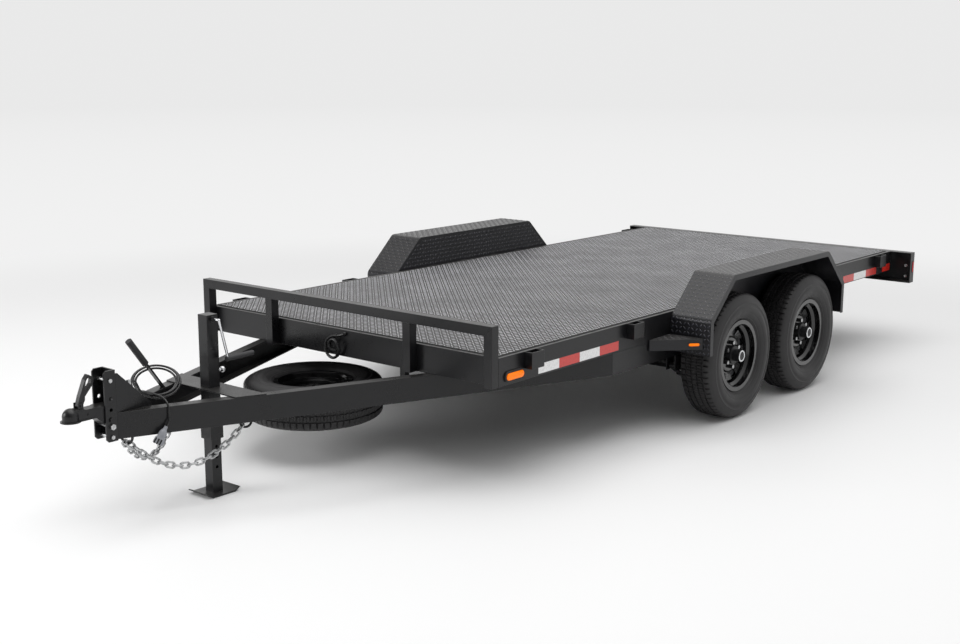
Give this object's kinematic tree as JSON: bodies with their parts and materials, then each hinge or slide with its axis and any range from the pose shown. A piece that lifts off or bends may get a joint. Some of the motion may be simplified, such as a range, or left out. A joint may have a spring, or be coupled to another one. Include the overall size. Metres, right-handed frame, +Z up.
{
  "type": "tandem axle car hauler trailer",
  "caption": "Flat deck car hauler trailer with tandem axles, tread plate fenders, drop leg jack, adjustable ball coupler, safety chains and spare wheel.",
  "frame": {"origin": "middle of the plan, on the ground under the tyres", "axes": "+Z up, the coupler at the front towards -Y, the trailer's left side at +X"},
  "size_m": [2.591, 6.23, 0.863],
  "materials": {
    "frame_paint": "satin black paint",
    "deck_paint": "worn satin paint on tread plate",
    "fender_paint": "satin paint on tread plate",
    "tyre_rubber": "matte",
    "rim_paint": "gloss black paint",
    "hub_iron": "painted black",
    "zinc_plate": "zinc plated",
    "chrome_rod": "bright plated",
    "amber_lens": "moulded lens",
    "red_lens": "moulded lens",
    "plug_shell": "moulded",
    "cable_rubber": "satin rubber"
  },
  "bodies": {
    "frame": {"deck_plate": "deck_paint", "side_rail_left": "frame_paint", "side_rail_right": "frame_paint", "front_channel": "frame_paint", "crossmembers": "frame_paint", "rear_bumper": "frame_paint", "front_rail_top": "frame_paint", "front_rail_posts": "frame_paint", "tongue_left": "frame_paint", "tongue_right": "frame_paint", "lower_rail_left": "frame_paint", "lower_rail_right": "frame_paint", "jack_plate": "frame_paint", "tongue_gussets": "frame_paint", "coupler_channel": "frame_paint", "coupler": "frame_paint", "coupler_bolts": "zinc_plate", "jack_tube": "frame_paint", "cable_hanger": "frame_paint", "chain_loops": "frame_paint", "safety_chain_left": "zinc_plate", "safety_chain_right": "zinc_plate", "spare_tyre": "tyre_rubber", "spare_rim": "rim_paint", "spare_carrier": "frame_paint", "stake_pockets_left": "frame_paint", "stake_pockets_right": "frame_paint", "fender_left": "fender_paint", "fender_right": "fender_paint", "step_left": "fender_paint", "step_right": "fender_paint", "marker_lights": "amber_lens", "tail_lights": "red_lens", "axle_front": "frame_paint", "axle_rear": "frame_paint", "leaf_springs": "frame_paint", "u_bolts": "frame_paint", "spring_hangers": "frame_paint", "cable_clip": "zinc_plate", "cable_lead": "cable_rubber", "cable_coil": "cable_rubber", "cable_tail": "cable_rubber", "cable_plug": "plug_shell", "wiring_loop": "cable_rubber"},
    "wheel_front_left": {"tyre_front_left": "tyre_rubber", "rim_front_left": "rim_paint", "hub_front_left": "hub_iron"},
    "wheel_front_right": {"tyre_front_right": "tyre_rubber", "rim_front_right": "rim_paint", "hub_front_right": "hub_iron"},
    "wheel_rear_left": {"tyre_rear_left": "tyre_rubber", "rim_rear_left": "rim_paint", "hub_rear_left": "hub_iron"},
    "wheel_rear_right": {"tyre_rear_right": "tyre_rubber", "rim_rear_right": "rim_paint", "hub_rear_right": "hub_iron"},
    "jack_leg": {"jack_leg": "frame_paint"},
    "jack_crank": {"jack_crank": "chrome_rod"},
    "coupler_latch": {"coupler_latch": "frame_paint"}
  },
  "joints": [
    {"name": "wheel_front_left_spin", "type": "hinge", "parent": "frame", "child": "wheel_front_left", "pos_m": [1.1685, 0.465, 0.362], "axis": [1, 0, 0], "continuous": true},
    {"name": "wheel_front_right_spin", "type": "hinge", "parent": "frame", "child": "wheel_front_right", "pos_m": [-1.1685, 0.465, 0.362], "axis": [1, 0, 0], "continuous": true},
    {"name": "wheel_rear_left_spin", "type": "hinge", "parent": "frame", "child": "wheel_rear_left", "pos_m": [1.1685, 1.311, 0.362], "axis": [1, 0, 0], "continuous": true},
    {"name": "wheel_rear_right_spin", "type": "hinge", "parent": "frame", "child": "wheel_rear_right", "pos_m": [-1.1685, 1.311, 0.362], "axis": [1, 0, 0], "continuous": true},
    {"name": "jack_slide", "type": "slide", "parent": "frame", "child": "jack_leg", "axis": [0, 0, 1], "range_m": [-0.1, 0.22]},
    {"name": "jack_crank_turn", "type": "hinge", "parent": "frame", "child": "jack_crank", "pos_m": [0.04, -2.318, 0.843], "axis": [1, 0, 0], "continuous": true},
    {"name": "latch_lift", "type": "hinge", "parent": "frame", "child": "coupler_latch", "pos_m": [0, -3.029, 0.57], "axis": [1, 0, 0], "range_deg": [0, 80]}
  ]
}
